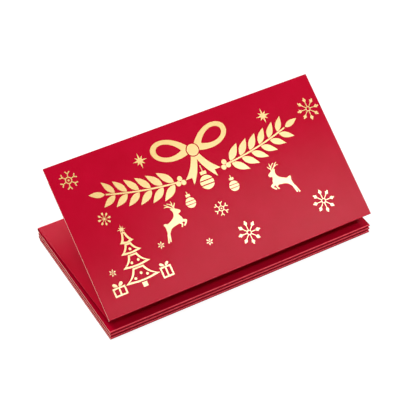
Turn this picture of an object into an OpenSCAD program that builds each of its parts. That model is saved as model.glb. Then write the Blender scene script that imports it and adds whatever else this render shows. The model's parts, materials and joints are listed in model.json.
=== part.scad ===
// Zigzag gift envelope for banknotes and small cards.
// Eight stiff card leaves hang together at rounded creases, like a concertina. A pocket sheet is glued under
// every odd leaf, and the cover carries a stamped foil print.
// X runs along the creases, Y from the front creases to the back ones, and Z up.
// The origin is on the table, under the middle of the base leaf.

/* [Leaves] */
// Length of every leaf along its creases
leaf_w = 170; // [120:1:230]
// Depth of every leaf, from crease to crease
leaf_d = 90; // [70:1:130]
// Thickness of the card
card_t = 0.4; // [0.3:0.05:0.8]

/* [Pockets] */
// Thickness of the sheet glued under every odd leaf
pocket_t = 0.3; // [0.15:0.05:0.6]
// Thickness of the glue line, which is also the height of the empty pocket
glue_t = 0.1; // [0.05:0.05:0.3]
// Width of the glued seams along a pocket's sides and closed end
seam_w = 5; // [3:0.5:10]
// Distance from a pocket's closed end to the crease
crease_setback = 1; // [0.5:0.1:3]
// Distance from a pocket's mouth to the far edge of its leaf
mouth_setback = 8; // [4:0.5:20]
// Radius of the thumb notch in a pocket's mouth
notch_r = 10; // [6:0.5:14]

/* [Folds] */
// Air between a pocket and the leaf that it closes on
pocket_air = 0.15; // [0.1:0.05:0.5]
// Air between one pair of leaves and the next
pair_gap = 1.05; // [0.6:0.05:2]
// Air at the back crease under leaf two, which springs open
sprung_gap = 2.2; // [1:0.1:4]
// Tilt of leaf two, with its front crease up
leaf_two_tilt = 3.8; // [0:0.1:12]
// Tilt of the cover, with its free edge up
cover_tilt = 34.7; // [5:0.1:80]

/* [Foil print] */
// Thickness of the stamped foil
foil_t = 0.05; // [0.03:0.01:0.1]
// Width of the thin foil lines
line_w = 0.9; // [0.5:0.05:1.2]
// Bare card left between two shapes of one motif
bare_w = 0.6; // [0.4:0.05:0.8]
// Radius of the three large snowflakes
large_flake_r = 7.1; // [5:0.1:8]
// Radius of the forked snowflake in the corner
forked_flake_r = 5.5; // [3.5:0.1:6]
// Radius of the forked snowflake in the middle
middle_flake_r = 4.4; // [3:0.1:5.5]
// Radius of the snowflake of drops
drop_flake_r = 3.9; // [2.5:0.1:4.5]
// Radius of the three small snowflakes
small_flake_r = 2.2; // [1.5:0.1:2.8]
// Length of a star's longest rays
star_r = 4.8; // [3:0.1:5.5]
// Height of a leaping deer
deer_h = 20; // [15:0.5:22]
// Height of the fir tree, with its trunk
tree_h = 32; // [24:0.5:34]
// Length of one loop of the bow
loop_l = 25; // [18:0.5:27]
// Length of the longest leaf on a bough
bough_leaf_l = 11.5; // [8:0.5:12.5]
// Radius of the bauble under the bow
bauble_r = 4.2; // [3:0.1:4.6]

/* [Hidden] */

crease_fn = 64;
foil_fn = 32;

// Heights in the stack. Leaves one and two, three and four, and so on lie as pairs, with a pocket inside each.
closed_gap = pocket_t + glue_t + pocket_air;
pair_t = 2 * card_t + closed_gap;
function is_odd(n) = n % 2 == 1;
function underside(n) = floor((8 - n) / 2) * (pair_t + pair_gap) + (is_odd(n) ? card_t + closed_gap : 0);
stack_top = underside(3) + card_t;

// Pocket sheets, in the frame of their own leaf
pocket_d = leaf_d - crease_setback - mouth_setback;
pocket_front = crease_setback - leaf_d / 2;
pocket_mouth = pocket_front + pocket_d;
// Overrun of a cut past the face that it goes through
overrun = glue_t / 2;

red = [0.72, 0.09, 0.19];
dark_red = [0.60, 0.05, 0.14];
cream = [0.93, 0.86, 0.80];
gold = [0.93, 0.80, 0.47];

// Where the leaves lie. Each of these puts the middle of a leaf's underside at the origin.

module at_leaf(n) translate([0, 0, underside(n)]) children();

module at_leaf_two()
    translate([0, leaf_d / 2, stack_top + sprung_gap / 2])
    rotate([-leaf_two_tilt, 0, 0])
    translate([0, -leaf_d / 2, sprung_gap / 2]) children();

module at_cover_fold() at_leaf_two() translate([0, -leaf_d / 2, card_t + closed_gap / 2]) children();

module at_cover()
    at_cover_fold()
    rotate([leaf_two_tilt + cover_tilt, 0, 0])
    translate([0, leaf_d / 2, closed_gap / 2]) children();

// Card parts

module leaf() color(red) translate([-leaf_w / 2, -leaf_d / 2, 0]) cube([leaf_w, leaf_d, card_t]);

// A crease is the card itself, bent round the air between two leaves. Its axis is the line that they turn on,
// and it starts square to the upper leaf, which already stands open by the angle in opened.
module crease(gap, opened = 0)
    color(dark_red)
    rotate([90, 0, 90])
    rotate([0, 0, 90 + opened])
    rotate_extrude(angle = 180 - opened, $fn = crease_fn)
    translate([gap / 2, -leaf_w / 2]) square([card_t, leaf_w]);

// The crease between the lying leaves n and n + 1, at the front where the upper leaf is an odd one
module lying_crease(n) {
    gap = is_odd(n) ? closed_gap : pair_gap;
    translate([0, (is_odd(n) ? -1 : 1) * leaf_d / 2, underside(n) - gap / 2])
        mirror([0, is_odd(n) ? 0 : 1, 0]) crease(gap);
}

module sprung_crease()
    translate([0, leaf_d / 2, stack_top + sprung_gap / 2])
    mirror([0, 1, 0]) crease(sprung_gap, leaf_two_tilt);

module cover_crease() at_cover_fold() crease(closed_gap, leaf_two_tilt + cover_tilt);

// The sheet of a pocket, flush with the sides of its leaf, with a half-round thumb notch in its mouth
module pocket_sheet()
    color(red)
    difference() {
        translate([-leaf_w / 2, pocket_front, -glue_t - pocket_t]) cube([leaf_w, pocket_d, pocket_t]);
        translate([0, pocket_mouth, -glue_t - pocket_t - overrun])
            cylinder(r = notch_r, h = pocket_t + 2 * overrun, $fn = crease_fn);
    }

// The glue runs along both sides and the closed end of a pocket
module glue_line()
    color(cream)
    difference() {
        translate([-leaf_w / 2, pocket_front, -glue_t]) cube([leaf_w, pocket_d, glue_t]);
        translate([seam_w - leaf_w / 2, pocket_front + seam_w, -glue_t - overrun])
            cube([leaf_w - 2 * seam_w, pocket_d, glue_t + 2 * overrun]);
    }

// Flat outlines for the foil

function unit(v) = v / norm(v);
function to_left(v) = [-v.y, v.x];
function at_angle(r, a) = r * [cos(a), sin(a)];
function curve(a, b, c, t) = (1 - t) * (1 - t) * a + 2 * t * (1 - t) * b + t * t * c;
function curve_side(a, b, c, t) = to_left(unit((1 - t) * (b - a) + t * (c - b)));

// Moves corner b of a counter-clockwise outline inwards by w, between its neighbours a and c
function inset_corner(a, b, c, w) =
    let (m = to_left(unit(b - a)), n = to_left(unit(c - b))) b + w * (m + n) / (1 + m * n);
function inset(p, w) =
    let (n = len(p)) [for (i = [0 : n - 1]) inset_corner(p[(i + n - 1) % n], p[i], p[(i + 1) % n], w)];

// Cuts each corner of an outline once, a quarter of the way along both of its sides
function softened(p) =
    let (n = len(p)) [for (i = [0 : n - 1], t = [0.25, 0.75]) (1 - t) * p[i] + t * p[(i + 1) % n]];

// A band along the curve from a towards b to c, which widens from w0 to w1 and ends in a swallow tail of depth d
function band(a, b, c, w0, w1, d = 0, steps = 8) = concat(
    [for (i = [0 : steps]) let (t = i / steps)
        curve(a, b, c, t) - curve_side(a, b, c, t) * (w0 + (w1 - w0) * t) / 2],
    d == 0 ? [] : [c - unit(c - b) * d],
    [for (i = [steps : -1 : 0]) let (t = i / steps)
        curve(a, b, c, t) + curve_side(a, b, c, t) * (w0 + (w1 - w0) * t) / 2]);

// A pointed leaf of length l and width w, from its stalk at the origin to its tip on +X
leaf_steps = 10;
function leaf_width_at(t, w) = w / 2 * sin(180 * pow(t, 0.8));
function pointed_leaf(l, w) = concat(
    [for (i = [0 : leaf_steps]) let (t = i / leaf_steps) [l * t, -leaf_width_at(t, w)]],
    [for (i = [leaf_steps - 1 : -1 : 1]) let (t = i / leaf_steps) [l * t, leaf_width_at(t, w)]]);

// A petal of length l, pointed at the origin and round at its far end on +X
petal_steps = 48;
function petal(l, lobes) =
    [for (i = [0 : petal_steps - 1]) let (a = (2 * i / petal_steps - 1) * 90 / lobes) at_angle(l * cos(lobes * a), a)];

module outlined(p, w) difference() {
    polygon(p);
    polygon(inset(p, w));
}

module ring(r, w) difference() {
    circle(r);
    circle(r - w);
}

module around(count) for (k = [0 : count - 1]) rotate(k * 360 / count) children();

// Puts a flat motif on the cover at shares of its length and depth, counted from its left front corner
module stamp(place_share)
    at_cover()
    translate([(place_share.x - 0.5) * leaf_w, (place_share.y - 0.5) * leaf_d, card_t])
    linear_extrude(foil_t, $fn = foil_fn) children();

// Snowflakes. Every point is a share of the flake's radius.

leaf_tip_shares = [[0.60, 0.030], [0.68, 0.105], [0.82, 0.160], [0.83, 0.080], [0.98, 0.045],
                   [0.98, -0.045], [0.83, -0.080], [0.82, -0.160], [0.68, -0.105], [0.60, -0.030]];
fork_shares = [[0.31, -0.045], [0.64, -0.045], [0.88, -0.27], [0.97, -0.19], [0.75, 0],
               [0.97, 0.19], [0.88, 0.27], [0.64, 0.045], [0.31, 0.045]];

module leaf_flake(r) {
    ring(0.21 * r, 0.07 * r);
    around(8) {
        translate([0.19 * r, -0.03 * r]) square([0.43 * r, 0.06 * r]);
        polygon(leaf_tip_shares * r);
    }
}

module forked_flake(r) {
    ring(0.37 * r, 0.10 * r);
    circle(0.11 * r);
    around(6) rotate(18) polygon(fork_shares * r);
}

module drop_flake(r) {
    circle(0.15 * r);
    around(8) {
        translate([0.12 * r, -0.03 * r]) square([0.50 * r, 0.06 * r]);
        translate([0.52 * r, 0]) polygon(petal(0.45 * r, 1.7));
    }
}

module small_flake(r) {
    circle(0.16 * r);
    around(6) rotate(12) translate([0.26 * r, 0]) polygon(pointed_leaf(0.74 * r, 0.30 * r));
}

large_flake_shares = [[0.951, 0.778], [0.858, 0.184], [0.562, 0.173]];
small_flake_shares = [[0.262, 0.303], [0.074, 0.254], [0.421, 0.213]];

module foil_snowflakes() color(gold) {
    for (p = large_flake_shares) stamp(p) leaf_flake(large_flake_r);
    stamp([0.065, 0.880]) forked_flake(forked_flake_r);
    stamp([0.507, 0.378]) forked_flake(middle_flake_r);
    stamp([0.122, 0.580]) drop_flake(drop_flake_r);
    for (p = small_flake_shares) stamp(p) small_flake(small_flake_r);
}

// The bow: a knot, two loops and two tails

knot_share = [0.5, 0.790];
knot_r = 0.14 * loop_l;
loop_lift = 17;
loop_lobes = 2.1;
tail_w = 0.22 * loop_l;
bow_half_w_at_tails = 0.46 * loop_l;

module bow_loop() rotate(loop_lift) difference() {
    polygon(petal(loop_l, loop_lobes));
    translate([0.27 * loop_l, 0]) polygon(petal(0.60 * loop_l, loop_lobes));
    circle(knot_r + bare_w);
}

module bow_tail() difference() {
    polygon(band([0, 0], [0.10, -0.42] * loop_l, [0.38, -0.68] * loop_l, tail_w * 0.5, tail_w, tail_w * 0.55));
    circle(knot_r + bare_w);
    rotate(loop_lift) polygon(inset(petal(loop_l, loop_lobes), -bare_w));
}

module foil_bow() color(gold) {
    stamp(knot_share) circle(knot_r);
    for (side = [0, 1]) {
        stamp(knot_share) mirror([side, 0]) bow_loop();
        stamp(knot_share) mirror([side, 0]) bow_tail();
    }
}

// Two leafy boughs sweep up from the tails of the bow to both ends of the cover. Each starts with three berries.

bough_level_share = 0.622;
berry_r = 0.13 * bough_leaf_l;
bough_start = bow_half_w_at_tails + bare_w + 3 * berry_r;
bough_reach = 0.34 * leaf_w;
bough_rise = 0.095 * leaf_d;
bough_r = (bough_reach * bough_reach + bough_rise * bough_rise) / (2 * bough_rise);
first_angle = asin(bough_start / bough_r);
last_angle = asin(bough_reach / bough_r);
leaf_pairs = 6;
leaf_splay = 42;
leaf_width_share = 0.37;
leaf_shrink_share = 0.20;

module one_bough() translate([0, bough_r]) {
    steps = 24;
    polygon([for (side = [0, 1], i = [0 : steps])
        at_angle(bough_r + (side - 0.5) * line_w,
                 -90 + first_angle + (last_angle - first_angle) * (side == 0 ? i : steps - i) / steps)]);
    for (i = [0 : leaf_pairs - 1], side = [-1, 1]) {
        l = bough_leaf_l * (1 - leaf_shrink_share * i / leaf_pairs);
        rotate(first_angle + (last_angle - first_angle) * (i + 0.25) / leaf_pairs)
            translate([0, side * (line_w / 2 + bare_w / 2) - bough_r])
            rotate(side * leaf_splay) polygon(pointed_leaf(l, l * leaf_width_share));
    }
    rotate(first_angle) translate([-bare_w - berry_r, -bough_r])
        around(3) translate([0, berry_r + bare_w / 2]) circle(berry_r);
    rotate(last_angle) translate([bare_w, -bough_r])
        polygon(pointed_leaf(bough_leaf_l * (1 - leaf_shrink_share), bough_leaf_l * leaf_width_share * 0.8));
}

module foil_boughs() color(gold) {
    stamp([0.5, bough_level_share]) one_bough();
    stamp([0.5, bough_level_share]) mirror([1, 0]) one_bough();
}

// Eight-point stars, with long rays up and down and short ones between

ray_shares = [0.93, 0.70, 1, 0.70];
star_waist_share = 0.31;
star_corners = 16;

module star(r)
    polygon([for (k = [0 : star_corners - 1])
        at_angle(r * (k % 2 == 0 ? ray_shares[(k / 2) % 4] : star_waist_share), k * 360 / star_corners)]);

// The left star stands close beside the bow's left loop
star_stand_off = loop_l + star_r + 3 * bare_w;

module foil_stars() color(gold) {
    stamp([0.5, 0.841]) translate([-star_stand_off, 0]) star(star_r);
    stamp([0.785, 0.838]) star(star_r);
}

// Leaping deer. The points are shares of its height, from the hoof that leaves the ground last.

deer_body_shares = [
    [0.70, 0.735], [0.69, 0.775], [0.62, 0.82], [0.56, 0.865], [0.52, 0.855], [0.42, 0.89], [0.465, 0.81],
    [0.475, 0.73], [0.43, 0.63], [0.31, 0.56], [0.19, 0.505], [0.12, 0.545], [0.055, 0.53], [0.095, 0.45],
    [0.09, 0.34], [0.07, 0.24], [0.04, 0.18], [0.06, 0.145], [0.12, 0.19], [0.17, 0.28], [0.24, 0.35],
    [0.33, 0.385], [0.45, 0.405], [0.55, 0.42], [0.66, 0.425], [0.69, 0.40], [0.755, 0.41], [0.765, 0.45],
    [0.71, 0.48], [0.655, 0.50], [0.655, 0.57], [0.61, 0.64], [0.595, 0.69], [0.66, 0.70]
];
// Each shin is a curved band: start, bend and end
shin_shares = [
    [[0.090, 0.240], [0.035, 0.130], [0.000, 0.000]],
    [[0.120, 0.250], [0.095, 0.130], [0.070, 0.020]],
    [[0.735, 0.440], [0.720, 0.370], [0.625, 0.310]],
    [[0.530, 0.430], [0.640, 0.400], [0.545, 0.295]]
];
// Each tine of the antlers is a curved band as well
antler_shares = [
    [[0.545, 0.86], [0.56, 0.98], [0.40, 1.05]],
    [[0.548, 0.92], [0.60, 0.94], [0.62, 1.01]],
    [[0.520, 0.97], [0.55, 1.00], [0.53, 1.08]],
    [[0.505, 0.86], [0.45, 0.98], [0.28, 0.97]],
    [[0.420, 0.94], [0.40, 0.99], [0.31, 1.05]]
];

module deer(h) {
    polygon(softened(deer_body_shares * h));
    for (shin = shin_shares * h) polygon(band(shin[0], shin[1], shin[2], 0.055 * h, 0.035 * h));
    for (tine = antler_shares * h) polygon(band(tine[0], tine[1], tine[2], 0.040 * h, 0.018 * h));
}

// Both leap just under the leaves of the boughs. This is how far their hoofs are below the boughs' level.
antler_top_share = 1.09;
deer_drop = bough_leaf_l * sin(leaf_splay) + antler_top_share * deer_h;

module foil_deer() color(gold) {
    stamp([0.290, bough_level_share]) translate([0, -deer_drop]) deer(deer_h);
    stamp([0.793, bough_level_share]) translate([0, -deer_drop]) mirror([1, 0]) deer(deer_h);
}

// Baubles that hang from the knot and from the boughs. The hanging point is at the top of the thread.

small_bauble_r = 0.72 * bauble_r;
bauble_cap_share = 0.45;

module bauble(r, thread_l) {
    cap_w = bauble_cap_share * r;
    translate([-line_w / 4, -thread_l]) square([line_w / 2, thread_l]);
    translate([-cap_w, -thread_l - cap_w]) square([2 * cap_w, cap_w]);
    translate([0, -thread_l - cap_w - bare_w - r]) difference() {
        circle(r);
        for (level = [-0.5, 0.5]) translate([-r, (level * 0.62 - 0.07) * r]) square([2 * r, 0.14 * r]);
    }
}

module foil_baubles() color(gold) {
    stamp([0.5, 0.680]) bauble(bauble_r, 0.040 * leaf_d);
    for (side = [-1, 1]) stamp([0.5 + side * 0.083, 0.555]) bauble(small_bauble_r, 0.018 * leaf_d);
}

// A fir tree drawn in lines, with baubles, a star, a parcel on each side and lines of snow

tree_foot_share = [0.160, 0.105];
trunk_h = 0.10 * tree_h;
trunk_w = 0.09 * tree_h;
// Height of the foot, height and half width at the foot of each tier, and its half width at the top
tier_shares = [[0.11, 0.27, 0.330], [0.38, 0.24, 0.262], [0.62, 0.20, 0.195], [0.81, 0.22, 0.130]];
tier_tops = [0.105 * tree_h, 0.082 * tree_h, 0.060 * tree_h, 1.25 * line_w];
// Places of the solid baubles on the tiers
bead_shares = [[-0.12, 0.185], [0.11, 0.195], [0.01, 0.245], [-0.07, 0.46], [0.06, 0.475], [0, 0.695]];
bead_r = 0.024 * tree_h;

function tier(foot, top, h, steps = 6) = concat(
    [for (i = [0 : steps]) curve([-foot, 0.10 * h], [0, -0.16 * h], [foot, 0.10 * h], i / steps)],
    [for (i = [1 : steps]) curve([foot, 0.10 * h], [top + 0.25 * (foot - top), 0.35 * h], [top, h], i / steps)],
    [for (i = [steps : -1 : 1])
        curve([-foot, 0.10 * h], [-top - 0.25 * (foot - top), 0.35 * h], [-top, h], i / steps)]);

// One tier in outline. Its line is about as wide all round, and fuller in the sharp tips.
module tier_in_outline(foot, top, h) difference() {
    polygon(tier(foot, top, h));
    translate([0, line_w]) polygon(tier(foot - 2.6 * line_w, top - 0.95 * line_w, h - 2 * line_w));
}

module fir_tree() {
    translate([-trunk_w / 2, 0]) square([trunk_w, trunk_h - bare_w]);
    for (i = [0 : len(tier_tops) - 1]) {
        t = tier_shares[i] * tree_h;
        translate([0, t[0]]) tier_in_outline(t[2], tier_tops[i], t[1] - bare_w);
    }
    for (p = bead_shares * tree_h) translate(p) circle(bead_r);
    translate([0, tree_h * 1.06]) star(0.09 * tree_h);
}

// A tied parcel of width w and height h, with its foot on the origin
module parcel(w, h) {
    outlined([[-w / 2, 0], [w / 2, 0], [w / 2, h], [-w / 2, h]], line_w);
    translate([-line_w / 2, line_w / 2]) square([line_w, h - line_w]);
    for (side = [0, 1]) mirror([side, 0])
        translate([bare_w / 2, h + bare_w / 2]) rotate(35) polygon(petal(0.42 * w, 2));
}

module foil_fir_tree() color(gold) {
    stamp(tree_foot_share) fir_tree();
    stamp(tree_foot_share) translate([-0.46 * tree_h, 0]) parcel(0.24 * tree_h, 0.16 * tree_h);
    stamp(tree_foot_share) translate([0.45 * tree_h, 0]) parcel(0.21 * tree_h, 0.20 * tree_h);
}

at_cover() leaf();  // cover_leaf
at_leaf_two() leaf();  // leaf_2
at_leaf(3) leaf();  // leaf_3
at_leaf(4) leaf();  // leaf_4
at_leaf(5) leaf();  // leaf_5
at_leaf(6) leaf();  // leaf_6
at_leaf(7) leaf();  // leaf_7
at_leaf(8) leaf();  // base_leaf
cover_crease();  // crease_1
sprung_crease();  // crease_2
lying_crease(3);  // crease_3
lying_crease(4);  // crease_4
lying_crease(5);  // crease_5
lying_crease(6);  // crease_6
lying_crease(7);  // crease_7
at_cover() pocket_sheet();  // cover_pocket
at_leaf(3) pocket_sheet();  // pocket_3
at_leaf(5) pocket_sheet();  // pocket_5
at_leaf(7) pocket_sheet();  // pocket_7
at_cover() glue_line();  // cover_glue
at_leaf(3) glue_line();  // glue_3
at_leaf(5) glue_line();  // glue_5
at_leaf(7) glue_line();  // glue_7
foil_snowflakes();
foil_stars();
foil_deer();
foil_boughs();
foil_bow();
foil_baubles();
foil_fir_tree();
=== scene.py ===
# %% [markdown]
# A folding gift envelope of red card with a gold foil print.
#
# The real thing is one long strip of stiff card. It is creased so that eight leaves fold onto each
# other like a concertina, and under every second leaf a thinner sheet is glued to make a pocket for
# banknotes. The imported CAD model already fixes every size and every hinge. This lesson dresses it:
# new leaves, bends and pockets with fine edges stand in for the plain solids, and the glue and the
# foil keep their CAD shape under better materials.

import json
import math

import bmesh
import bpy
from mathutils import Matrix, Vector


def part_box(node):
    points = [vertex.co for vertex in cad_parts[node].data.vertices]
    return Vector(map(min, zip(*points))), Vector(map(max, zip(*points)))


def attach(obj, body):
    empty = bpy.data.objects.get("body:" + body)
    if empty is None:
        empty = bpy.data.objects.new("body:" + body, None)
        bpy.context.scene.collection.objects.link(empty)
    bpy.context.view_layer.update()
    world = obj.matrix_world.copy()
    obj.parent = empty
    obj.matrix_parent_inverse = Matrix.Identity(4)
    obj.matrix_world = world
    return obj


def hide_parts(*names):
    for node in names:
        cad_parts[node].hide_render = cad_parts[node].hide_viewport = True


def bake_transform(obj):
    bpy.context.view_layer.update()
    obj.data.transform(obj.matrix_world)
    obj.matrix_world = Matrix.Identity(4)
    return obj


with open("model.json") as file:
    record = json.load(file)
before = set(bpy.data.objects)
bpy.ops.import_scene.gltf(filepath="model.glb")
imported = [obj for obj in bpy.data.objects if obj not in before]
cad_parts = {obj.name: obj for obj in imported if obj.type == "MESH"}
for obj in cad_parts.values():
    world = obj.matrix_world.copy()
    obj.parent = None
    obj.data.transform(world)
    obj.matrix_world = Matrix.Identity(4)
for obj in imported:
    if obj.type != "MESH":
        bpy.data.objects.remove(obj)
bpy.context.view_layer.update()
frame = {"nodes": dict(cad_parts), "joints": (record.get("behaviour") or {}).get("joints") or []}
scene = bpy.context.scene
MM = 0.001

# %% [markdown]
# The camera comes first, because every later choice is judged through it. Nine corners of the
# leaves, measured on the photograph, give its direction, its distance and its long lens. The
# photograph's frame sits a little off the line of sight, which is what a camera's shift is for. The
# lens and the shift were found in pixels of that frame, and Blender wants millimetres and a share
# of the frame.

# %% Camera
PHOTO_SIDE = 416
SENSOR_WIDTH = 36.0
FOCAL_PIXELS = 1448.7
SHIFT_PIXELS = (3.61, 27.67)
CAMERA_TURN, CAMERA_RISE = math.radians(-29.875), math.radians(43.93)
CAMERA_DISTANCE = 0.84669
NEAR_CLIP, FAR_CLIP = 0.01, 20

towards_camera = Vector((
    math.sin(CAMERA_TURN) * math.cos(CAMERA_RISE),
    -math.cos(CAMERA_TURN) * math.cos(CAMERA_RISE),
    math.sin(CAMERA_RISE),
))
lens = bpy.data.cameras.new("camera")
lens.sensor_width = SENSOR_WIDTH
lens.lens = FOCAL_PIXELS / PHOTO_SIDE * SENSOR_WIDTH
lens.shift_x, lens.shift_y = (pixels / PHOTO_SIDE for pixels in SHIFT_PIXELS)
lens.clip_start, lens.clip_end = NEAR_CLIP, FAR_CLIP
camera = bpy.data.objects.new("camera", lens)
scene.collection.objects.link(camera)
camera.location = towards_camera * CAMERA_DISTANCE
camera.rotation_mode = "QUATERNION"
camera.rotation_quaternion = (-towards_camera).to_track_quat("-Z", "Y")
scene.camera = camera
scene.view_settings.view_transform = "Standard"
print("camera:", round(lens.lens, 1), "mm lens, at", [round(c, 3) for c in camera.location])

# %% [markdown]
# A material in Blender is a small graph of nodes. A few helpers keep the graphs below short. The
# first adds any node and sets its inputs by name. Three more add the nodes that are needed most: a
# sum, a mix of two colours, and a range stretched to another range. The last ones link a result,
# empty a graph, and start a material with one Principled shader.

# %% Node helpers
def add(tree, kind, settings=None, **inputs):
    """Adds a node. An input is a value, or a socket of another node to link from.

    It goes by the socket's name, with _ for a space, or by i and the socket's number.
    """
    node = tree.nodes.new(kind)
    for name, value in (settings or {}).items():
        setattr(node, name, value)
    for name, value in inputs.items():
        number = name[1:]
        socket = node.inputs[int(number) if number.isdigit() else name.replace("_", " ")]
        if isinstance(value, bpy.types.NodeSocket):
            tree.links.new(value, socket)
        else:
            socket.default_value = value
    return node


def sums(tree, how, *terms):
    """The result of a Math node that works on two or three terms."""
    numbered = {f"i{i}": term for i, term in enumerate(terms)}
    return add(tree, "ShaderNodeMath", {"operation": how}, **numbered).outputs[0]


def mixed(tree, share, low, high):
    """A colour between low and high."""
    return add(tree, "ShaderNodeMix", {"data_type": "RGBA"}, i0=share, i6=low, i7=high).outputs[2]


def stretched(tree, value, low, high, to_low=0.0, to_high=1.0):
    """A value from low to high, brought to the range from to_low to to_high and held in it."""
    return add(tree, "ShaderNodeMapRange", Value=value, From_Min=low, From_Max=high,
               To_Min=to_low, To_Max=to_high).outputs[0]


def feed(tree, socket, value):
    """Links a result to a socket."""
    tree.links.new(value, socket)


def start_graph(owner):
    """Gives a material or a world an empty node tree."""
    owner.use_nodes = True
    owner.node_tree.nodes.clear()
    return owner.node_tree


def start_material(name, **shader_inputs):
    """A material with one Principled shader, its node tree and that shader."""
    made = bpy.data.materials.new(name)
    tree = start_graph(made)
    shader = add(tree, "ShaderNodeBsdfPrincipled", **shader_inputs)
    add(tree, "ShaderNodeOutputMaterial", Surface=shader.outputs[0])
    return made, tree, shader


print("node helpers ready")

# %% [markdown]
# The photograph stands on pure white. That white comes from the world and from the floor as the
# camera and reflections see them, where a strength of 1 is white, and never from more light on the
# card. Other rays get a softer sky, so that the card's own colour comes out about as it is written.

# %% White surroundings
SKY_ON_CARD = 0.09


def grey(level):
    """A grey as a colour, from 0 for black to 1 for white."""
    return (level, level, level, 1)


def seen_directly(tree):
    """1 for rays from the camera, from reflections and through glass, and 0 for the rest."""
    path = add(tree, "ShaderNodeLightPath").outputs
    either = sums(tree, "MAXIMUM", path["Is Camera Ray"], path["Is Glossy Ray"])
    return sums(tree, "MAXIMUM", either, path["Is Transmission Ray"])


world = bpy.data.worlds.new("white_room")
scene.world = world
sky = start_graph(world)
strength = sums(sky, "MULTIPLY_ADD", seen_directly(sky), 1 - SKY_ON_CARD, SKY_ON_CARD)
background = add(sky, "ShaderNodeBackground", Color=grey(1), Strength=strength)
add(sky, "ShaderNodeOutputWorld", Surface=background.outputs[0])
print("sky on the card:", SKY_ON_CARD)

# %% [markdown]
# The floor is a wide sheet of white paper. As the camera sees it, part of its white is its own and
# part is the light that falls on it, so it stays white where it is lit and still keeps a soft
# shadow round the envelope. Far from the envelope, where the lamps don't reach, all of the white is
# its own, and no grey horizon shows. Light that it throws back onto the card comes from plain
# paper.

# %% Floor
FLOOR_HALF_WIDTH = 4.0
FLOOR_DROP = 0.02 * MM
FLOOR_OWN_WHITE, FLOOR_LIT_WHITE = 0.78, 0.32
PLAIN_PAPER = 0.75
LIT_RADIUS, FAR_RADIUS = 0.3, 1.2

floor_bm = bmesh.new()
bmesh.ops.create_grid(floor_bm, x_segments=1, y_segments=1, size=FLOOR_HALF_WIDTH)
bmesh.ops.translate(floor_bm, verts=floor_bm.verts, vec=(0, 0, -FLOOR_DROP))
floor_mesh = bpy.data.meshes.new("floor")
floor_bm.to_mesh(floor_mesh)
floor_bm.free()
floor = bpy.data.objects.new("floor", floor_mesh)
scene.collection.objects.link(floor)

white_paper = bpy.data.materials.new("white_paper")
tree = start_graph(white_paper)
plain = add(tree, "ShaderNodeBsdfDiffuse", Color=grey(PLAIN_PAPER))
lit = add(tree, "ShaderNodeBsdfDiffuse", Color=grey(FLOOR_LIT_WHITE))
place = add(tree, "ShaderNodeTexCoord").outputs["Object"]
from_middle = add(tree, "ShaderNodeVectorMath", {"operation": "LENGTH"}, Vector=place)
own_white = stretched(tree, from_middle.outputs["Value"], LIT_RADIUS, FAR_RADIUS, FLOOR_OWN_WHITE)
own = add(tree, "ShaderNodeEmission", Color=grey(1), Strength=own_white)
shown = add(tree, "ShaderNodeAddShader", i0=lit.outputs[0], i1=own.outputs[0])
either = add(tree, "ShaderNodeMixShader", i0=seen_directly(tree), i1=plain.outputs[0],
             i2=shown.outputs[0])
add(tree, "ShaderNodeOutputMaterial", Surface=either.outputs[0])
floor_mesh.materials.append(white_paper)
print("floor:", floor.name)

# %% [markdown]
# Light on satin card and foil is mostly a matter of what they mirror. Three small narrow boxes in
# front stand where the right part of the leaning cover mirrors the camera. They run level along its
# front edge, and their sheen fades towards the back and the left, as it does in the photograph.
# They are small, because more light from the front would fill the dark gap under the cover. Two
# boxes overhead carry the plain light on the cover and on the shoulders of the bends. They hang a
# little to the back, so that the strip of leaf three in front stays dark under the raised leaves.
# One behind lights leaf two under the cover, a large low one at the left picks out the cut edges,
# and a tiny one puts a glint on the back of leaf two. Places and sizes are in metres.

# %% Soft boxes
AIM_HEIGHT = 0.02


def soft_box(name, where, width, height, watts, level=False):
    """A rectangular lamp that faces the envelope. A level one keeps its width along X."""
    lamp = bpy.data.lights.new(name, "AREA")
    lamp.shape = "RECTANGLE"
    lamp.size, lamp.size_y, lamp.energy = width, height, watts
    holder = bpy.data.objects.new(name, lamp)
    scene.collection.objects.link(holder)
    holder.location = where
    backwards = Vector(where) - Vector((0, 0, AIM_HEIGHT))
    if level:
        backwards.x = 0
    holder.rotation_mode = "QUATERNION"
    holder.rotation_quaternion = backwards.to_track_quat("Z", "Y")
    holder.visible_camera = False
    print(name, "at", [round(c, 2) for c in holder.location], watts, "W")


soft_box("sheen_box", (0.165, -0.318, 0.503), 0.24, 0.055, 0.60, level=True)
soft_box("sheen_end", (0.345, -0.318, 0.503), 0.12, 0.055, 0.43, level=True)
soft_box("sheen_glow", (0.285, -0.272, 0.534), 0.24, 0.055, 0.42, level=True)
soft_box("top_left_box", (-0.35, 0.08, 0.94), 0.5, 0.35, 5.0)
soft_box("top_right_box", (0.45, 0.08, 0.89), 0.5, 0.35, 2.4)
soft_box("back_box", (-0.25, 0.80, 0.62), 0.5, 0.4, 3.1)
soft_box("low_left_box", (-0.98, -0.10, 0.45), 1.1, 0.75, 2.6)
soft_box("leaf_two_glint", (-0.030, 0.188, 0.118), 0.08, 0.03, 0.035)

# %% [markdown]
# Card and foil share one thing: the grain of the paper, which the satin film and the pressed foil
# both follow. A node group holds it once. It gives a height in metres for the bump, and a mottle
# and a finer speckle for colour and roughness. It also holds the slow waves of a sheet that isn't
# perfectly flat, which bend a reflection without changing the outline.

# %% Paper grain group
SATIN_GRAIN = 0.000002
FIBRE_STRETCH = (0.35, 1.0, 1.0)
WAVES_PER_METRE, MOTTLE_PER_METRE = 26.0, 70.0


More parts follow.
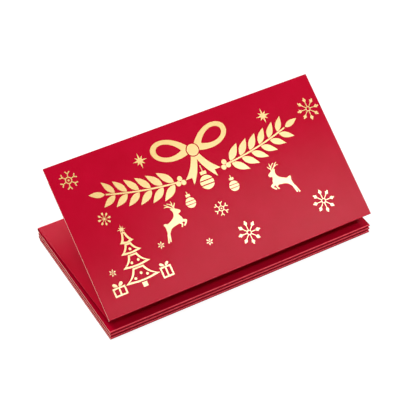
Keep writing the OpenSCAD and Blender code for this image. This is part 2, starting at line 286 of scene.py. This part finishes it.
def start_group(name, inputs, outputs):
    """A node group with named sockets, with what it is given and what it puts out."""
    group = bpy.data.node_groups.new(name, "ShaderNodeTree")
    for socket_name, kind, value in inputs:
        socket = group.interface.new_socket(name=socket_name, in_out="INPUT", socket_type=kind)
        if value is not None:
            socket.default_value = value
    for socket_name, kind in outputs:
        group.interface.new_socket(name=socket_name, in_out="OUTPUT", socket_type=kind)
    given = group.nodes.new("NodeGroupInput").outputs
    result = group.nodes.new("NodeGroupOutput").inputs
    return group, given, result


def noise(tree, where, scale, detail, roughness=0.5):
    """A cloudy pattern from 0 to 1. Detail is the number of finer layers on it."""
    return add(tree, "ShaderNodeTexNoise", Vector=where, Scale=scale, Detail=detail,
               Roughness=roughness).outputs["Fac"]


paper_grain, given, result = start_group(
    "Paper grain",
    [("Grain per metre", "NodeSocketFloat", 1800.0),
     ("Grain height", "NodeSocketFloat", SATIN_GRAIN),
     ("Wave height", "NodeSocketFloat", 0.00004)],
    [("Height", "NodeSocketFloat"), ("Mottle", "NodeSocketFloat"), ("Speckle", "NodeSocketFloat")],
)
place = add(paper_grain, "ShaderNodeTexCoord").outputs["Object"]
fibres = add(paper_grain, "ShaderNodeMapping", Vector=place, Scale=FIBRE_STRETCH).outputs[0]
speckle = noise(paper_grain, fibres, given["Grain per metre"], detail=4.0, roughness=0.62)
waves = noise(paper_grain, place, WAVES_PER_METRE, detail=1.0)
mottle = noise(paper_grain, place, MOTTLE_PER_METRE, detail=5.0, roughness=0.6)
grain_height = sums(paper_grain, "MULTIPLY", speckle, given["Grain height"])
height = sums(paper_grain, "MULTIPLY_ADD", waves, given["Wave height"], grain_height)
feed(paper_grain, result["Height"], height)
feed(paper_grain, result["Mottle"], mottle)
feed(paper_grain, result["Speckle"], speckle)
print("group:", paper_grain.name, [socket.name for socket in paper_grain.interface.items_tree])

# %% [markdown]
# Wear shows first along the cut outline, where fingers and the knife have been. The lighter red on
# the upper shoulders of the bends is not wear but a painted highlight, which stands for the sheen of
# the lamps on the rounded fold. The meshes below carry two attributes, rim for the wear and bend for
# the painted highlight, and this group breaks their even edge up into small patches.

# %% Wear and painted highlight group
RIM_SHARPNESS = 2.0
PATCHES_PER_METRE = 420.0
PATCH_LOW, PATCH_HIGH, LEAST_PATCH = 0.30, 0.72, 0.35

wear_and_highlight_group, given, result = start_group(
    "Wear and painted highlight",
    [("Colour", "NodeSocketColor", None), ("Worn colour", "NodeSocketColor", None),
     ("Rim wear", "NodeSocketFloat", 0.5), ("Bend wear", "NodeSocketFloat", 0.3)],
    [("Colour", "NodeSocketColor"), ("Worn", "NodeSocketFloat")],
)
place = add(wear_and_highlight_group, "ShaderNodeTexCoord").outputs["Object"]
rim = add(wear_and_highlight_group, "ShaderNodeAttribute", {"attribute_name": "rim"}).outputs["Fac"]
bend = add(wear_and_highlight_group, "ShaderNodeAttribute", {"attribute_name": "bend"}).outputs["Fac"]
sharp_rim = sums(wear_and_highlight_group, "POWER", rim, RIM_SHARPNESS)
rim_part = sums(wear_and_highlight_group, "MULTIPLY", sharp_rim, given["Rim wear"])
# The bend mark is a painted highlight: it lightens the shoulders of the bends as if lit.
highlight_part = sums(wear_and_highlight_group, "MULTIPLY", bend, given["Bend wear"])
patchiness = stretched(wear_and_highlight_group, noise(wear_and_highlight_group, place, PATCHES_PER_METRE, detail=3.0), PATCH_LOW, PATCH_HIGH,
                 LEAST_PATCH)
wear_and_highlight_share = sums(wear_and_highlight_group, "MULTIPLY", sums(wear_and_highlight_group, "ADD", rim_part, highlight_part), patchiness)
feed(wear_and_highlight_group, result["Colour"], mixed(wear_and_highlight_group, wear_and_highlight_share, given["Colour"], given["Worn colour"]))
# The Worn output carries both the rim wear and the painted highlight on the bends.
feed(wear_and_highlight_group, result["Worn"], wear_and_highlight_share)
print("group:", wear_and_highlight_group.name)

# %% [markdown]
# The red card is printed solid and covered with a satin film. One function makes the card materials,
# because the leaves, the bends and the pockets are the same red in slightly different states: the
# bends carry a painted highlight, a lighter red on their upper shoulders, and the pocket sheets are
# thinner and a little duller. The film's mirror is kept weak, because everything round the envelope
# is white and would wash the red out. The sheen is left to the soft boxes, which are brighter than
# white, except on the bends' shoulders, where it is painted. A matt edge material, which mirrors
# nothing, is for cut faces that stay red.

# %% Card materials
NOISE_LOW, NOISE_HIGH = 0.3, 0.7
SMOOTHER, ROUGHER, WEAR_AND_HIGHLIGHT_ROUGHER = 0.03, 0.05, 0.15
BENT_GRAIN, CUT_GRAIN = 0.000003, 0.000006


def group_node(tree, group, **inputs):
    """What a node group puts out for these inputs."""
    return add(tree, "ShaderNodeGroup", {"node_tree": group}, **inputs).outputs


def emboss(tree, shader, height):
    """Gives the shader a bump from a height in metres."""
    bump = add(tree, "ShaderNodeBump", Strength=1.0, Distance=1.0, Height=height)
    feed(tree, shader.inputs["Normal"], bump.outputs["Normal"])


def red_card(name, deep, light, worn_colour, roughness, rim_wear, bend_wear=0.0,
             grain=SATIN_GRAIN, mirror=0.042):
    """Red card under a satin film, from its deep to its light shade."""
    made, tree, shader = start_material(name, Specular_IOR_Level=mirror, IOR=1.5)
    paper = group_node(tree, paper_grain, Grain_height=grain)
    mottle = stretched(tree, paper["Mottle"], NOISE_LOW, NOISE_HIGH)
    wear_and_highlight_out = group_node(tree, wear_and_highlight_group, Colour=mixed(tree, mottle, deep, light),
                        Worn_colour=worn_colour, Rim_wear=rim_wear, Bend_wear=bend_wear)
    feed(tree, shader.inputs["Base Color"], wear_and_highlight_out["Colour"])
    satin = stretched(tree, paper["Speckle"], NOISE_LOW, NOISE_HIGH,
                      roughness - SMOOTHER, roughness + ROUGHER)
    feed(tree, shader.inputs["Roughness"],
         sums(tree, "MULTIPLY_ADD", wear_and_highlight_out["Worn"], WEAR_AND_HIGHLIGHT_ROUGHER, satin))
    emboss(tree, shader, paper["Height"])
    return made


RED_DEEP, RED_LIGHT = (0.464, 0.0009, 0.0192, 1), (0.500, 0.0016, 0.0240, 1)
THIN_DEEP, THIN_LIGHT = (0.440, 0.0009, 0.020, 1), (0.475, 0.0016, 0.025, 1)
# The second colour of the bends is their worn colour. Along their cut ends it is wear, and on their
# upper shoulders it is a painted highlight.
WORN_RED, WORN_AND_HIGHLIGHT_RED = (0.72, 0.16, 0.17, 1), (1.0, 0.11, 0.15, 1)

satin_card = red_card("satin_red_card", RED_DEEP, RED_LIGHT, WORN_RED,
                      roughness=0.17, rim_wear=0.30)
# On the bends, the strong shoulder mark paints a highlight in a lighter red.
bent_card = red_card("bent_red_card", RED_DEEP, RED_LIGHT, WORN_AND_HIGHLIGHT_RED,
                     roughness=0.21, rim_wear=0.30, bend_wear=1.8, grain=BENT_GRAIN)
thin_card = red_card("thin_red_card", THIN_DEEP, THIN_LIGHT, WORN_RED,
                     roughness=0.36, rim_wear=0.25)
red_edge = red_card("drawn_red_edge", RED_DEEP, RED_LIGHT, WORN_RED,
                    roughness=0.60, rim_wear=0.08, grain=CUT_GRAIN, mirror=0.0)
print("card materials:", satin_card.name, bent_card.name, thin_card.name, red_edge.name)

# %% [markdown]
# Where the knife has gone through, the core of the card shows. It is cream with a breath of the red
# beside it, soft, matt and full of short fibres. The same grain group makes them, finer and higher.

# %% Cut core
CORE_DEEP, CORE_LIGHT = (0.92, 0.58, 0.45, 1), (1.0, 0.80, 0.66, 1)
FIBRE_LOW, FIBRE_HIGH = 0.32, 0.68

core, tree, shader = start_material("cream_core", Roughness=0.85, Specular_IOR_Level=0.2)
paper = group_node(tree, paper_grain, Grain_per_metre=6500.0, Grain_height=CUT_GRAIN)
fibre_share = stretched(tree, paper["Speckle"], FIBRE_LOW, FIBRE_HIGH)
feed(tree, shader.inputs["Base Color"], mixed(tree, fibre_share, CORE_DEEP, CORE_LIGHT))
emboss(tree, shader, paper["Height"])
print("material:", core.name)

# %% [markdown]
# The glue is a thin film of cold glue. It dries clear and slightly glossy, so it shows the red of
# the sheets on both its sides, dulled. Only its outer edge is ever seen, so a plain opaque shader
# does.

# %% Glue
GLUE_DEEP, GLUE_LIGHT = (0.42, 0.10, 0.07, 1), (0.52, 0.15, 0.11, 1)

dry_glue, tree, shader = start_material("dry_glue", Roughness=0.35, Specular_IOR_Level=0.4)
paper = group_node(tree, paper_grain, Grain_per_metre=900.0, Grain_height=0.00001)
feed(tree, shader.inputs["Base Color"], mixed(tree, paper["Mottle"], GLUE_DEEP, GLUE_LIGHT))
emboss(tree, shader, paper["Height"])
print("material:", dry_glue.name)

# %% [markdown]
# Hot foil is a skin of metal and lacquer a few thousandths of a millimetre thick. It takes the
# grain of the card, which makes its mirror soft, and it is patchy where the stamp pressed less. A
# pure metal looks right only where it mirrors something bright, and turns brown elsewhere. So this
# shader is half metal and half plain gold colour, which holds up from every side. A clear coat
# stands for the lacquer, and its sheen whitens the gold towards the right. The foil is drawn a
# little thicker than life so that it stays a solid.

# %% Gold foil
GOLD_DEEP, GOLD_LIGHT = (0.462, 0.294, 0.060, 1), (0.500, 0.327, 0.077, 1)
GOLD_SMOOTH, GOLD_ROUGH = 0.44, 0.50

stamped_gold, tree, shader = start_material(
    "stamped_gold", Metallic=0.5, Specular_IOR_Level=0.0,
    Coat_Weight=1.0, Coat_IOR=1.85, Coat_Roughness=0.22,
)
paper = group_node(tree, paper_grain, Grain_per_metre=2400.0, Grain_height=0.0000016,
                   Wave_height=0.00003)
press = stretched(tree, paper["Mottle"], NOISE_LOW, NOISE_HIGH)
feed(tree, shader.inputs["Base Color"], mixed(tree, press, GOLD_DEEP, GOLD_LIGHT))
soft_mirror = stretched(tree, paper["Speckle"], NOISE_LOW, NOISE_HIGH, GOLD_SMOOTH, GOLD_ROUGH)
feed(tree, shader.inputs["Roughness"], soft_mirror)
emboss(tree, shader, paper["Height"])
print("material:", stamped_gold.name)

# %% [markdown]
# Every piece is shaped flat and then put in its place, which is kept in its mesh. Six leaves lie
# level. Leaf two and the cover lean, each about the hinge that carries it, so their place is that
# hinge, a turn and a shift.

# %% Where the leaves lie
CARD = 0.4 * MM
LEAF_W, LEAF_D = 170 * MM, 90 * MM
LEAF_TWO_LEAN, COVER_LEAN = math.radians(-3.8), math.radians(34.7)
CLOSED_GAP, SPRUNG_GAP = 0.55 * MM, 2.2 * MM

hinge_points = {joint["name"]: joint["pos_m"] for joint in frame["joints"]}


def turned_at(hinge, angle):
    """The frame of a hinge, turned about X."""
    return Matrix.Translation(hinge_points[hinge]) @ Matrix.Rotation(angle, 4, "X")


def level_place(node):
    """The middle of the underside of a level CAD node."""
    low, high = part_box(node)
    return Matrix.Translation(((low.x + high.x) / 2, (low.y + high.y) / 2, low.z))


leaf_nodes = ["cover_leaf"] + [f"leaf_{n}" for n in range(2, 8)] + ["base_leaf"]
leaf_bodies = ["cover", "leaf_two", "leaf_three", "leaf_four", "leaf_five", "leaf_six",
               "leaf_seven", "base"]
leaf_places = [
    turned_at("fold_1", COVER_LEAN) @ Matrix.Translation((0, LEAF_D / 2, CLOSED_GAP / 2)),
    turned_at("fold_2", LEAF_TWO_LEAN) @ Matrix.Translation((0, -LEAF_D / 2, SPRUNG_GAP / 2)),
] + [level_place(node) for node in leaf_nodes[2:]]
for node, place in zip(leaf_nodes, leaf_places):
    print(node, "underside at", [round(c / MM, 2) for c in place.translation])

# %% [markdown]
# A few helpers serve every card piece. One rounds the outline's edges a little, as a knife leaves
# them. One insets the broad faces, which holds wear and shading near that outline. One writes a
# mark such as wear on every point. One turns the mesh into an object and gives the cut faces their
# own material, and the last compares its box with that of the CAD node.

# %% Card helpers
KNIFE_RADIUS, KNIFE_SEGMENTS = 0.05 * MM, 2
RIM_WIDTH = 0.3 * MM
SHARP_FROM = math.radians(50)


def rise(edge):
    """How far an edge climbs. On a flat sheet that is its whole thickness, or nothing."""
    return abs(edge.verts[0].co.z - edge.verts[1].co.z)


def round_over(bm, chosen, radius=KNIFE_RADIUS, segments=KNIFE_SEGMENTS):
    """Bevels the chosen edges."""
    edges = [edge for edge in bm.edges if chosen(edge)]
    bmesh.ops.bevel(bm, geom=edges, offset=radius, affect="EDGES", segments=segments,
                    profile=0.5, material=-1)


def hold_rim(bm):
    """Insets the two broad faces, so that wear and shading stay near the outline."""
    broad = sorted(bm.faces, key=lambda face: -face.calc_area())[:2]
    bmesh.ops.inset_individual(bm, faces=broad, thickness=RIM_WIDTH)


def mark(bm, name, value_at):
    """Writes a number from 0 to 1 on every vertex, for the materials."""
    layer = bm.verts.layers.float.new(name)
    for vert in bm.verts:
        vert[layer] = max(0.0, min(1.0, value_at(vert.co)))


def finish_card(bm, name, face_material, cut_material, is_cut, place):
    """Makes the object at the origin, with its place in its mesh and two materials."""
    bmesh.ops.recalc_face_normals(bm, faces=bm.faces)
    bm.normal_update()
    for face in bm.faces:
        face.material_index = 1 if is_cut(face.normal) else 0
        face.smooth = True
    bmesh.ops.transform(bm, matrix=place, verts=bm.verts)
    mesh = bpy.data.meshes.new(name)
    bm.to_mesh(mesh)
    bm.free()
    mesh.materials.append(face_material)
    mesh.materials.append(cut_material)
    mesh.set_sharp_from_angle(angle=SHARP_FROM)
    piece = bpy.data.objects.new(name, mesh)
    scene.collection.objects.link(piece)
    return piece


def compare(piece, node):
    """Prints how far a piece's box is from that of the CAD node that it stands for."""
    low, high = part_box(node)
    off = max(abs(end(corner[i] for corner in piece.bound_box) - side[i])
              for i in range(3) for end, side in ((min, low), (max, high)))
    faces = len(piece.data.polygons)
    print(f"{piece.name}: {faces} faces, box within {off / MM:.3f} mm of {node}")


print("knife radius, mm:", KNIFE_RADIUS / MM)

# %% [markdown]
# A leaf is a plate with three kinds of side: cut ends, creased sides that run on into a bend, and
# on the first and the last leaf one free cut side. A cube scaled to the plate gives all of them.
# Only the cut sides are rounded, so that the creased ones stay flush with their bends. Light and
# dark edges alternate down the real stack. A likely reason is that the strip is cut from its back,
# where the knife draws the film a little over the core, and that it turns over at every crease. So
# the even leaves, which lie back up, have red edges here, and only the odd ones show their core.

# %% Leaves
CORNER_RADIUS, CORNER_SEGMENTS = 0.5 * MM, 5
TOUCHING = MM / 100
CUT_BELOW = 0.5


def is_sheet_cut(normal):
    """Says whether a face of a flat sheet is one that the knife has made."""
    return abs(normal.z) < CUT_BELOW


def leaf_piece(name, place, free_side, cut_material):
    """One leaf. free_side says that its back side is cut too."""
    bm = bmesh.new()
    bmesh.ops.create_cube(bm, size=1.0)
    bmesh.ops.scale(bm, vec=(LEAF_W, LEAF_D, CARD), verts=bm.verts)
    bmesh.ops.translate(bm, vec=(0, 0, CARD / 2), verts=bm.verts)
    half_w, half_d = LEAF_W / 2, LEAF_D / 2
    if free_side:
        round_over(bm, lambda edge: rise(edge) > CARD / 2 and edge.verts[0].co.y > 0,
                   CORNER_RADIUS, CORNER_SEGMENTS)
    creased_sides = (-half_d,) if free_side else (-half_d, half_d)

    def on_cut_outline(edge):
        if rise(edge) > CARD / 2:
            return False
        return not any(all(abs(vert.co.y - y) < TOUCHING for vert in edge.verts)
                       for y in creased_sides)

    round_over(bm, on_cut_outline)
    hold_rim(bm)

    def rim_at(co):
        to_end = half_w - abs(co.x)
        to_outline = min(to_end, half_d - co.y) if free_side else to_end
        return 1 - to_outline / RIM_WIDTH

    mark(bm, "rim", rim_at)
    return finish_card(bm, name, satin_card, cut_material, is_sheet_cut, place)


for n, (node, body, place) in enumerate(zip(leaf_nodes, leaf_bodies, leaf_places), start=1):
    free_side = node in ("cover_leaf", "base_leaf")
    cut_material = core if n % 2 else red_edge
    piece = leaf_piece(node.replace("leaf", "sheet"), place, free_side, cut_material)
    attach(piece, body)
    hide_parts(node)
    compare(piece, node)

# %% [markdown]
# A crease is the card itself, bent round the air between two leaves. The card's own section, spun
# about the hinge line, makes it. A painted highlight, a lighter red, lies on the shoulder of the
# bend that looks up, whose place SHOULDER gives as a share of the arc from below. It is full on the
# three lower bends in front, and weaker on the cover's and on those at the back.

# %% Bends
PAIR_GAP = 1.05 * MM
BEND_STEPS = 32
SHOULDER, SHOULDER_WIDTH = 0.83, 0.14
HIGHLIGHTED_BENDS, OTHERS_SHARE = (3, 5, 7), 0.4
CUT_ABOVE = 0.7
SAME_POINT = 1e-7


def card_section():
    """The card's section as one face: as wide as a leaf, as high as the card is thick."""
    bm = bmesh.new()
    bmesh.ops.create_grid(bm, x_segments=1, y_segments=1, size=0.5)
    bmesh.ops.scale(bm, vec=(LEAF_W, CARD, 1), verts=bm.verts)
    bmesh.ops.rotate(bm, matrix=Matrix.Rotation(math.radians(90), 3, "X"), verts=bm.verts)
    bmesh.ops.bevel(bm, geom=bm.verts, offset=KNIFE_RADIUS, affect="VERTICES",
                    segments=KNIFE_SEGMENTS, profile=0.5, material=-1)
    return bm


def bend_piece(n, gap, lower_lean, upper_lean):
    """The bend of crease n, between two leaves that lean by these angles about X."""
    hinge = Matrix.Translation(hinge_points[f"fold_{n}"])
    outwards = -1 if n % 2 else 1
    radius = gap / 2
    bm = card_section()
    bmesh.ops.translate(bm, vec=(0, 0, -radius - CARD / 2), verts=bm.verts)
    bmesh.ops.rotate(bm, matrix=Matrix.Rotation(lower_lean, 3, "X"), verts=bm.verts)
    arc = outwards * (math.pi + outwards * (upper_lean - lower_lean))
    bmesh.ops.spin(bm, geom=bm.faces[:], axis=(1, 0, 0), cent=(0, 0, 0), angle=arc,
                   steps=BEND_STEPS)
    for side in (-1, 1):
        rim_line = (side * (LEAF_W / 2 - RIM_WIDTH), 0, 0)
        bmesh.ops.bisect_plane(bm, geom=bm.verts[:] + bm.edges[:] + bm.faces[:],
                               plane_co=rim_line, plane_no=(1, 0, 0), dist=SAME_POINT)
    mark(bm, "rim", lambda co: 1 - (LEAF_W / 2 - abs(co.x)) / RIM_WIDTH)
    start_of_arc = Matrix.Rotation(lower_lean, 3, "X") @ Vector((0, 0, -1))

    # Painted highlight: a lighter band along the upper shoulder of the bend.
    def shoulder_highlight_at(co):
        flat = Vector((0, co.y, co.z)).normalized()
        share_of_arc = start_of_arc.angle(flat) / abs(arc)
        on_shoulder = math.exp(-((share_of_arc - SHOULDER) / SHOULDER_WIDTH) ** 2)
        return on_shoulder * (1 if n in HIGHLIGHTED_BENDS else OTHERS_SHARE)

    mark(bm, "bend", shoulder_highlight_at)
    piece = finish_card(bm, f"bend_{n}", bent_card, core,
                        lambda normal: abs(normal.x) > CUT_ABOVE, hinge)
    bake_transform(piece)
    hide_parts(f"crease_{n}")
    compare(piece, f"crease_{n}")


for n in range(7, 0, -1):
    gap = {1: CLOSED_GAP, 2: SPRUNG_GAP}.get(n, CLOSED_GAP if n % 2 else PAIR_GAP)
    lower_lean = LEAF_TWO_LEAN if n == 1 else 0.0
    upper_lean = {1: COVER_LEAN, 2: LEAF_TWO_LEAN}.get(n, 0.0)
    bend_piece(n, gap, lower_lean, upper_lean)

# %% [markdown]
# A pocket sheet is glued under every odd leaf along three sides. Its mouth has a half-round notch,
# so that a thumb can push the banknote out. The outline starts as one point that is spun into the
# notch, gets four corners, and becomes a face that is then given its thickness. Its paper is dyed
# right through, so its cut faces are red too.

# %% Pocket sheets
POCKET, GLUE = 0.3 * MM, 0.1 * MM
CREASE_SETBACK, MOUTH_SETBACK, NOTCH_RADIUS = 1 * MM, 8 * MM, 10 * MM
NOTCH_STEPS = 40
THIN_KNIFE_RADIUS = 0.8 * KNIFE_RADIUS


def pocket_piece(name, place):
    """The sheet of a pocket, in the frame of its leaf."""
    mouth, foot = LEAF_D / 2 - MOUTH_SETBACK, CREASE_SETBACK - LEAF_D / 2
    half_w, underside = LEAF_W / 2, -GLUE - POCKET
    bm = bmesh.new()
    first = bm.verts.new((NOTCH_RADIUS, mouth, underside))
    bmesh.ops.spin(bm, geom=[first], axis=(0, 0, 1), cent=(0, mouth, underside), angle=-math.pi,
                   steps=NOTCH_STEPS)
    last = min(bm.verts, key=lambda vert: vert.co.x)
    corners = [bm.verts.new((x, y, underside))
               for x, y in ((-half_w, mouth), (-half_w, foot), (half_w, foot), (half_w, mouth))]
    chain = [last, *corners, first]
    for a, b in zip(chain, chain[1:]):
        bm.edges.new((a, b))
    bmesh.ops.contextual_create(bm, geom=bm.edges[:])
    grown = bmesh.ops.extrude_face_region(bm, geom=bm.faces[:])
    raised = [item for item in grown["geom"] if isinstance(item, bmesh.types.BMVert)]
    bmesh.ops.translate(bm, vec=(0, 0, POCKET), verts=raised)
    bmesh.ops.recalc_face_normals(bm, faces=bm.faces)
    round_over(bm, lambda edge: rise(edge) < POCKET / 2, THIN_KNIFE_RADIUS)
    hold_rim(bm)

    def rim_at(co):
        to_notch = math.hypot(co.x, co.y - mouth) - NOTCH_RADIUS
        return 1 - min(half_w - abs(co.x), mouth - co.y, co.y - foot, to_notch) / RIM_WIDTH

    mark(bm, "rim", rim_at)
    return finish_card(bm, name, thin_card, red_edge, is_sheet_cut, place)


for n, node in ((1, "cover_pocket"), (3, "pocket_3"), (5, "pocket_5"), (7, "pocket_7")):
    piece = pocket_piece(node + "_sheet", leaf_places[n - 1])
    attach(piece, leaf_bodies[n - 1])
    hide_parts(node)
    compare(piece, node)

# %% [markdown]
# The glue lines and the foil have the right shape in CAD already, so they stay and only get their
# materials. A CAD node may change its material slots, but never its mesh or its place.

# %% Glue and foil
def dress(node, material):
    """Gives a CAD node one material."""
    mesh = frame["nodes"][node].data
    mesh.materials.clear()
    mesh.materials.append(material)


glue_nodes = [node for node in sorted(frame["nodes"]) if "glue" in node]
foil_nodes = [node for node in sorted(frame["nodes"]) if node.startswith("foil_")]
for node in glue_nodes:
    dress(node, dry_glue)
for node in foil_nodes:
    dress(node, stamped_gold)
print("glue:", glue_nodes)
print("foil:", foil_nodes)
